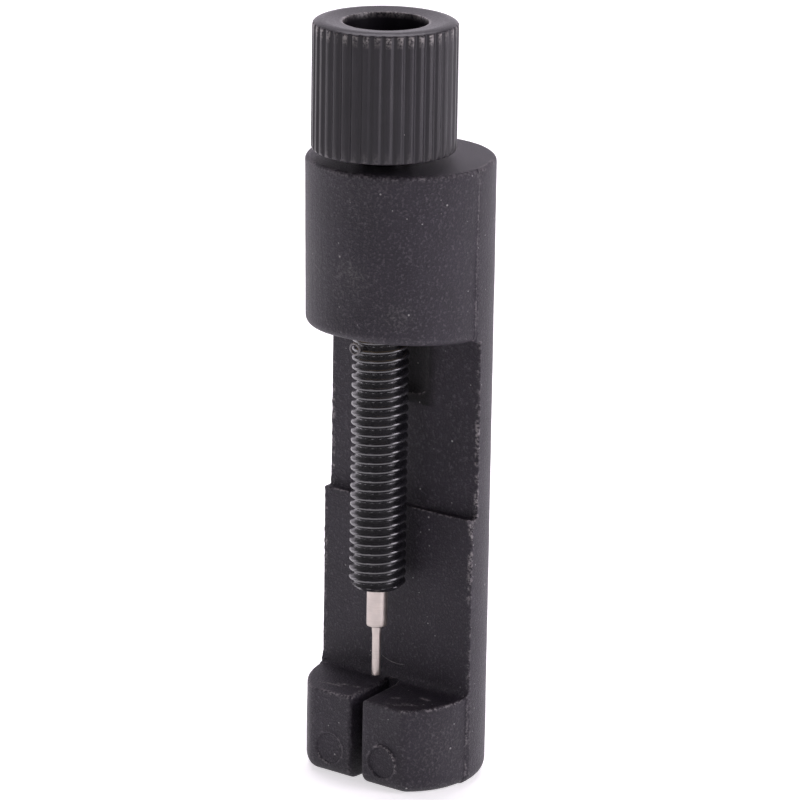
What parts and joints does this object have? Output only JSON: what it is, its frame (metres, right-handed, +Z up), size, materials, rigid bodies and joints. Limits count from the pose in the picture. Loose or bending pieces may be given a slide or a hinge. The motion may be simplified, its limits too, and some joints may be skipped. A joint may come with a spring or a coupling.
{
  "type": "chain tool",
  "caption": "Small hand press for chain or bracelet link pins: knurled knob on a screw with a thin steel push pin, in a round moulded body with a slotted foot.",
  "frame": {"origin": "middle of the round base, on the body's own axis", "axes": "+Z up the body towards the knob, -Y out of the open working side, +X to the right seen from the open side"},
  "size_m": [0.02, 0.0205, 0.0823],
  "materials": {
    "moulding": "moulded fine grain",
    "insert_metal": "turned",
    "blackened_steel": "black oxide, oiled",
    "knob_black": "black anodised, satin",
    "bright_steel": "ground"
  },
  "bodies": {
    "body": {"body": "moulding", "thread_insert": "insert_metal"},
    "pin": {"push_pin": "bright_steel"},
    "screw": {"drive_screw": "blackened_steel", "knob": "knob_black"}
  },
  "joints": [
    {"name": "screw_feed", "type": "slide", "parent": "body", "child": "pin", "axis": [0, 0, 1], "range_m": [-0.001, 0.028]},
    {"name": "knob_turn", "type": "hinge", "parent": "pin", "child": "screw", "pos_m": [0, -0.00302, 0.02123], "axis": [0, 0, 1], "range_deg": [-360, 10080]}
  ],
  "couplings": [
    {"joint": "screw_feed", "follows": "knob_turn", "m_per_rad": 0.00015915}
  ]
}
